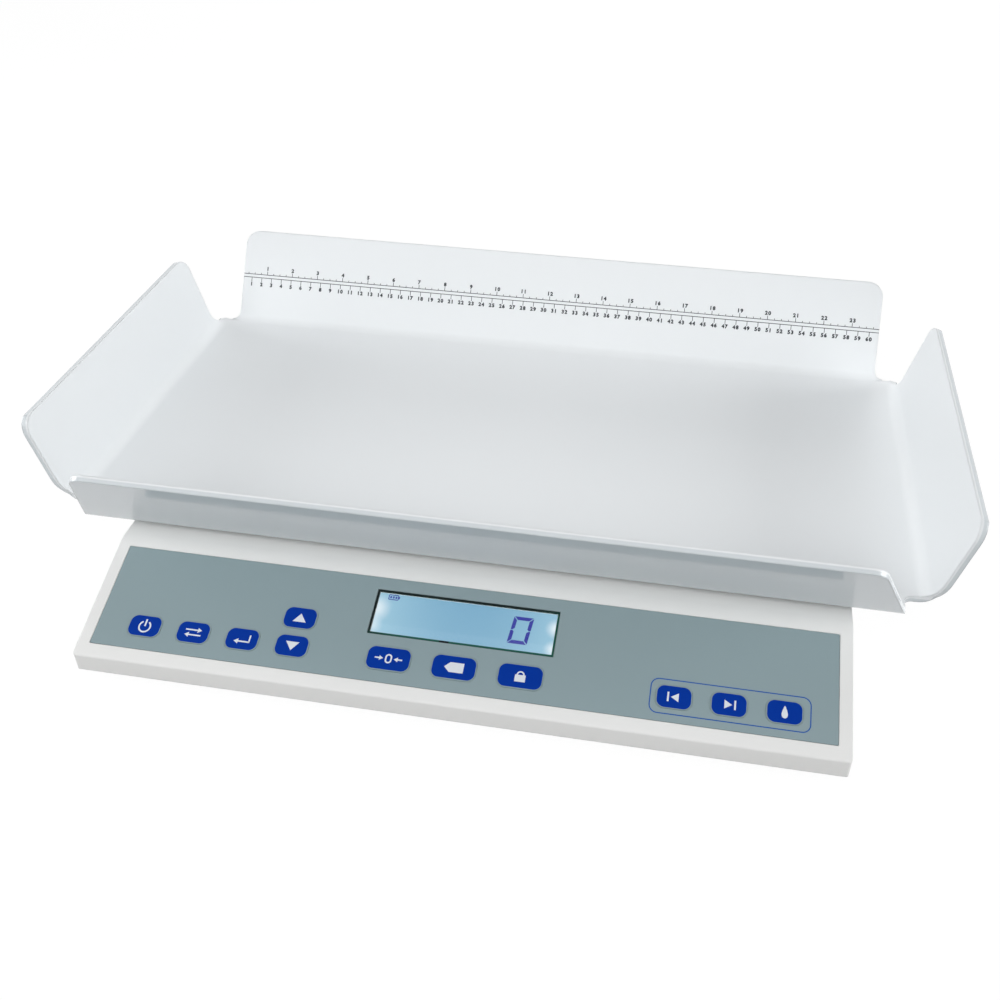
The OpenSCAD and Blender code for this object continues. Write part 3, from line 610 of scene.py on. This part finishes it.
def round_box(low, high, radius, steps=8):
    """Outline of a rectangle with rounded corners, anticlockwise."""
    (x0, y0), (x1, y1) = low, high
    spots = [((x1 - radius, y0 + radius), -90), ((x1 - radius, y1 - radius), 0),
             ((x0 + radius, y1 - radius), 90), ((x0 + radius, y0 + radius), 180)]
    return np.concatenate([arc(spot, radius, turn, turn + 90, steps) for spot, turn in spots])


def hoop(low, high, radius, width):
    """A closed band round a rectangle with rounded corners."""
    h = width / 2
    inner = round_box((low[0] + h, low[1] + h), (high[0] - h, high[1] - h), radius - h)
    outer = round_box((low[0] - h, low[1] - h), (high[0] + h, high[1] + h), radius + h)
    return ribbon(inner, outer, True)


def stroke(start, end, width):
    """A straight bar between two points."""
    start, end = np.array(start, float), np.array(end, float)
    run = (end - start) / np.linalg.norm(end - start)
    off = np.array([-run[1], run[0]]) * width / 2
    return plate([start - off, end - off, end + off, start + off])


def on_panel(name, shapes, u, s, low, high, material, body, slot):
    """Flat shapes in millimetres, laid on the panel round a point u across, s up the overlay.

    A point is the overlay's foot plus its u across, its s up the slope, and a height between
    low and high out of the panel.
    """
    points, faces, used = [], [], 0
    for shape, polygons in shapes:
        place = (shape[:, :1] + u) * MM * np.array([1.0, 0.0, 0.0])
        place = place + (shape[:, 1:2] + s) * MM * np.array(panel_up)
        place = place + (low + (high - low) * shape[:, 2:3]) * MM * np.array(panel_out)
        points.append(place + np.array(overlay_foot))
        faces += [[index + used for index in polygon] for polygon in polygons]
        used += len(shape)
    return finish_piece(solid(name, np.concatenate(points), faces), material, body)


frame_low, frame_high, frame_corner, frame_line = (136.0, 5.5), (242.0, 29.5), 5.5, 0.75
print_blue = Finish("print_blue")
print_tone = print_blue.blend(print_blue.grain(600.0), tone(24, 78, 160), tone(34, 90, 170))
print_blue.close(print_blue.shade(Base_Color=print_tone, Roughness=0.5, Specular_IOR_Level=0.25))
key_frame = hoop(frame_low, frame_high, frame_corner, frame_line)
on_panel("key_frame", [key_frame], 0, 0, 0.0, print_t, print_blue.material, "base",
         "overlay_grey")

# ------------------------------------------------------------------ Keys
# Eleven embossed pads printed royal blue, each with a pale sign on its face. A pad presses in
# and springs back on the disc below it.
pad_size, wide_pad_size = (22.9, 15.2), (30.3, 16.2)
wide_pads = ("zero", "clear", "hold")
pad_corner = 5.2
sign_low, sign_high = 0.25, 0.29


def pad_finish(name, u, s, width, depth):
    """Film printed blue inside a round-cornered box, in millimetres on the overlay, grey outside.

    The distance to the box is that to the corner's circle beside a corner, and that to the
    nearer side elsewhere; it is below zero inside.
    """
    pad = Finish("pad_" + name)
    x, y, z = pad.axes()
    climb = (y - overlay_foot.y) * math.cos(tilt) + (z - overlay_foot.z) * math.sin(tilt)
    over_u = abs(x * 1000.0 - u) - (width / 2 - pad_corner)
    over_s = abs(climb * 1000.0 - s) - (depth / 2 - pad_corner)
    corner = (over_u.most(0.0) ** 2.0 + over_s.most(0.0) ** 2.0) ** 0.5
    margin = (corner + over_u.most(over_s).least(0.0) - pad_corner).rise(-0.08, 0.08)
    grain = pad.grain(2000.0, 1.0, 0.5)
    blue = pad.blend(pad.grain(60.0, 2.0), (0.000, 0.032, 0.310), (0.000, 0.038, 0.340))
    return pad.close(pad.shade(
        Base_Color=pad.blend(margin, blue, (0.267, 0.348, 0.370)), Roughness=0.50 + 0.14 * grain,
        IOR=1.46, Specular_IOR_Level=0.08, Normal=pad.pits(grain, 0.03 * MM)))


sign_white = Finish("key_sign_white")
sign_tone = sign_white.blend(sign_white.grain(500.0), (0.74, 0.77, 0.82), (0.79, 0.82, 0.86))
sign_white.close(sign_white.shade(Base_Color=sign_tone, Roughness=0.5, Specular_IOR_Level=0.25))


def arrow(tip, turn, length, width, head):
    """A bar and a pointed head: the arrow ends at tip and points turn degrees from the right."""
    run = np.array([math.cos(math.radians(turn)), math.sin(math.radians(turn))])
    off = np.array([-run[1], run[0]])
    tip = np.array(tip, float)
    neck = tip - run * head
    return [stroke(tip - run * length, neck + run * 0.1, width),
            plate([neck - off * head * 0.62, tip, neck + off * head * 0.62])]


# A drop is an ellipse whose width shrinks towards its top.
drop_angles = np.radians(np.arange(90, 450, 12))
drop_width = 2.9 * (1 - 0.375 * (1 + np.sin(drop_angles)))
drop = np.stack([drop_width * np.cos(drop_angles), 4.3 * np.sin(drop_angles)], 1)

key_signs = {
    "power": (-225.0, 17.5, [bow((0, -0.4), 4.1, 1.15, 122, 418),
                             stroke((0, -0.2), (0, 5.1), 1.25)]),
    "unit": (-188.5, 17.5, arrow((6.0, 1.9), 0, 12.0, 1.05, 3.0)
             + arrow((-6.0, -1.9), 180, 12.0, 1.05, 3.0)),
    "enter": (-152.0, 17.5, [stroke((5.4, -2.3), (5.4, 3.4), 1.1)]
              + arrow((-5.8, -1.8), 180, 11.7, 1.1, 3.2)),
    "up": (-115.5, 38.9, [plate([(-4.9, -3.1), (4.9, -3.1), (0, 3.4)])]),
    "down": (-115.5, 17.5, [plate([(-4.9, 3.1), (0, -3.4), (4.9, 3.1)])]),
    "zero": (-45.4, 17.5, [hoop((-1.9, -2.9), (1.9, 2.9), 1.85, 1.1)]
             + arrow((-3.8, 0), 0, 6.0, 1.05, 2.8) + arrow((3.8, 0), 180, 6.0, 1.05, 2.8)),
    "clear": (1.0, 17.5, [plate([(-6.8, 0), (-3.0, -3.6), (6.8, -3.6), (6.8, 3.6), (-3.0, 3.6)])]),
    "hold": (47.4, 17.5, [bow((0, 1.0), 2.3, 1.05, 0, 180),
                          plate([(-3.7, -3.9), (3.7, -3.9), (3.7, 1.1), (-3.7, 1.1)])]),
    "before_feed": (152.0, 17.5, [plate([(-2.1, 0), (3.1, -3.1), (3.1, 3.1)]),
                                  stroke((-4.0, -3.3), (-4.0, 3.3), 1.2)]),
    "after_feed": (188.5, 17.5, [plate([(2.1, 0), (-3.1, 3.1), (-3.1, -3.1)]),
                                 stroke((4.0, -3.3), (4.0, 3.3), 1.2)]),
    "amount_fed": (225.0, 17.5, [plate(drop)]),
}
for name, (u, s, shapes) in key_signs.items():
    width, depth = wide_pad_size if name in wide_pads else pad_size
    dress("key_" + name, pad_finish(name, u, s, width, depth))
    on_panel("sign_" + name, shapes, u, s, sign_low, sign_high, sign_white.material,
             "key_" + name, "key_blue")

# ------------------------------------------------------------------ Display
# A back-lit liquid crystal display under a clear window, flush with the overlay. The window
# has a dark painted border that stands for the crystal's green glass edge and its painted shadow.
# Lamps at the two ends leave pale glows, and indigo segments show one figure and a battery sign.
lcd_u, lcd_s = 1.0, 51.7
clear_half_u, clear_half_v = 64.9, 15.6
segments_low, segments_high = -1.9, -1.87


def panel_place(finish):
    """Millimetres across and up the panel from the middle of the display."""
    x, y, z = finish.axes()
    across = x * 1000.0 - lcd_u
    climb = (y - overlay_foot.y) * math.cos(tilt) + (z - overlay_foot.z) * math.sin(tilt)
    return across, climb * 1000.0 - lcd_s


window = Finish("display_window")
u, v = panel_place(window)
edge = (abs(u) - clear_half_u).most(abs(v) - clear_half_v)
clear = window.shade(Base_Color=(0.98, 0.99, 1.0), Roughness=0.01, IOR=1.3, Transmission_Weight=1.0)
# Painted border: near-black towards the top left as painted shadow of the crystal's edge, green
# towards the bottom right where that glass edge shows.
low_side = (u - v * 4.0).rise(-20.0, 30.0)
edge_and_shadow_tone = window.blend(low_side, tone(22, 34, 32), tone(30, 84, 72))
dash = (abs(u + 11.0) - 3.4).most(v + 15.0).rise(-0.4, 0.4, 1.0, 0.0)
edge_and_shadow_tone = window.blend(dash, edge_and_shadow_tone, tone(16, 24, 26))
border = window.shade(Base_Color=edge_and_shadow_tone, Roughness=0.30, Specular_IOR_Level=0.2)
border_share = edge.rise(-0.05, 0.05)
window.close(window.node("ShaderNodeMixShader", None, {0: border_share, 1: clear, 2: border}))
dress("lcd_window", window.material)

crystal = Finish("display_crystal")
u, v = panel_place(crystal)


def glow_at(centre, size):
    """A round glow: a soft step of the distance from centre, 1 there and 0 at size."""
    far = (((u - centre[0]) / size[0]) ** 2 + ((v - centre[1]) / size[1]) ** 2) ** 0.5
    return far.rise(0.0, 1.0, 1.0, 0.0)


ends = (abs(u - 4.0) / 60.0) ** 2.0
slope = (0.5 - v / 60.0) * 0.30
paler = (ends * 0.44 + slope * 0.5).least(1.0)
body_tone = crystal.blend(paler, tone(120, 168, 196), tone(176, 216, 230))
shine = glow_at((-65.0, 3.0), (13.0, 13.0)) * 0.75 + glow_at((-65.0, -10.0), (9.0, 9.0)) * 0.5
shine = shine + glow_at((66.0, 4.5), (10.0, 9.0)) * 0.9 + glow_at((66.0, -11.0), (9.0, 8.0)) * 0.8
body_tone = crystal.blend(shine.least(1.0), body_tone, tone(246, 252, 254))
mottle = crystal.grain(900.0, 2.0)
lit_tone = crystal.blend(mottle * 0.08, body_tone, (0.12, 0.30, 0.42))
crystal.close(crystal.shade(Base_Color=(0.02, 0.03, 0.04), Roughness=0.35, Specular_IOR_Level=0.1,
                            Emission_Color=lit_tone, Emission_Strength=1.0))
dress("lcd_glass", crystal.material)

segment = Finish("display_segment")
segment_tone = segment.blend(segment.grain(900.0), tone(48, 50, 148), tone(58, 62, 158))
segment.close(segment.shade(Base_Color=(0.01, 0.01, 0.05), Roughness=0.4, Specular_IOR_Level=0.1,
                            Emission_Color=segment_tone, Emission_Strength=0.9))
digit_w, digit_h, digit_t, digit_gap, digit_slant = 14.2, 20.6, 2.6, 0.38, 0.11
digit_place, battery_place = (33.2, 41.4), (-53.2, 64.5)


def slanted(points):
    """Adds a share of each corner's height to its place across, as in italic figures."""
    points = np.asarray(points, float)
    points[:, 0] += points[:, 1] * digit_slant
    return points


def segment_zero():
    """The six lit segments of a 0, with mitred ends and small gaps between them."""
    w, h, t, g = digit_w, digit_h, digit_t, digit_gap
    middle = h / 2
    top_bar = [(g, h), (t + g, h - t), (w - t - g, h - t), (w - g, h)]
    left_up = [(0, h - g), (0, middle + g), (t / 2, middle + g / 2), (t, middle + t / 2),
               (t, h - t - g)]
    right_up = [(w - p[0], p[1]) for p in left_up][::-1]
    upper = [top_bar, left_up, right_up]
    lower = [[(p[0], h - p[1]) for p in shape][::-1] for shape in upper]
    return [plate(slanted(shape)) for shape in upper + lower]


on_panel("figure_zero", segment_zero(), *digit_place, segments_low, segments_high,
         segment.material, "base", "display_glass")
battery_sign = [hoop((-3.6, -1.8), (3.3, 1.8), 0.5, 0.62), stroke((3.55, 0), (4.35, 0), 1.8)]
battery_sign += [stroke((u_bar, -0.85), (u_bar, 0.85), 1.3) for u_bar in (-2.1, -0.15, 1.8)]
on_panel("figure_battery", battery_sign, *battery_place, segments_low, segments_high,
         segment.material, "base", "display_glass")

bezel = Finish("bezel_black")
bezel_grain = bezel.grain(1200.0, 2.0)
bezel_tone = bezel.blend(bezel_grain, (0.012, 0.014, 0.014), (0.022, 0.024, 0.024))
bezel.close(bezel.shade(Base_Color=bezel_tone, Roughness=0.45 + 0.1 * bezel_grain,
                        Normal=bezel.pits(bezel_grain, 0.03 * MM)))
dress("lcd_bezel", bezel.material)

guide = Finish("light_guide")
dots = guide.node("ShaderNodeTexVoronoi", None, {"Vector": guide.spot(), "Scale": 700.0})
guide_tone = guide.blend(dots.rise(0.10, 0.22), (0.90, 0.93, 0.95), (0.78, 0.82, 0.85))
guide.close(guide.shade(Base_Color=guide_tone, Roughness=0.25))
dress("lcd_backlight", guide.material)

# ------------------------------------------------------------------ Circuit board
# Green glass-fibre board under the panel. Copper tracks show through the mask as paler lines,
# and the chips on its back are black with a dull grain.
track_pitch, hole_pitch = 2.54, 5.08
board = Finish("board_green")
u, v = panel_place(board)
lane = (v / track_pitch).fraction()
turn_cell = (board.grain(90.0, 0.0) * 7.0).fraction()
track = abs(lane - 0.5).rise(0.10, 0.14, 1.0, 0.0) * turn_cell.rise(0.45, 0.50)
off_hole = abs((u / hole_pitch).fraction() - 0.5).most(abs((v / hole_pitch).fraction() - 0.5))
hole = off_hole.rise(0.07, 0.09, 1.0, 0.0)
mask_tone = board.blend(track, (0.010, 0.085, 0.035), (0.030, 0.180, 0.075))
mask_tone = board.blend(hole * 0.9, mask_tone, (0.55, 0.52, 0.42))
board.close(board.shade(Base_Color=mask_tone, Roughness=0.30, Coat_Weight=0.3,
                        Normal=board.pits(track, 0.04 * MM)))
dress("main_board", board.material)

chip = Finish("chip_black")
chip_grain = chip.grain(1500.0, 2.0)
chip_tone = chip.blend(chip_grain, (0.012, 0.012, 0.013), (0.030, 0.030, 0.031))
chip.close(chip.shade(Base_Color=chip_tone, Roughness=0.50 + 0.15 * chip_grain,
                      Normal=chip.pits(chip_grain, 0.03 * MM)))
dress("board_chips", chip.material)

# ------------------------------------------------------------------ Power
# Six penlight cells in three rows, each in a printed jacket with bare steel ends, and a black
# barrel inlet in the rear wall.
cells_low, cells_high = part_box("batteries")
cells_mid = (cells_low + cells_high) / 2
jacket = Finish("battery_jacket")
x, y, z = jacket.axes()
cell_half, row_half = 25.2, 7.4 * MM
turned = (abs(y - cells_mid.y) - row_half).rise(-0.1 * MM, 0.1 * MM)
from_middle = (x - cells_mid.x) * 1000.0
in_cell = abs(from_middle) - cell_half
along_cell = in_cell * (from_middle.sign() * (turned * 2.0 - 1.0))
gold = jacket.blend(jacket.grain(300.0), (0.50, 0.27, 0.06), (0.62, 0.36, 0.09))
jacket_tone = jacket.blend(along_cell.rise(6.0, 6.4), (0.020, 0.020, 0.024), gold)
bare = abs(in_cell).rise(23.7, 23.9)
jacket_tone = jacket.blend(bare, jacket_tone, (0.62, 0.62, 0.62))
jacket.close(jacket.shade(Base_Color=jacket_tone, Metallic=bare * 0.5 + 0.5, Roughness=0.28))
dress("batteries", jacket.material)

inlet = Finish("inlet_black")
inlet_grain = inlet.grain(1400.0, 2.0)
inlet_tone = inlet.blend(inlet_grain, (0.010, 0.010, 0.011), (0.024, 0.024, 0.025))
inlet.close(inlet.shade(Base_Color=inlet_tone, Roughness=0.40 + 0.1 * inlet_grain,
                        Normal=inlet.pits(inlet_grain, 0.03 * MM)))
dress("dc_inlet", inlet.material)
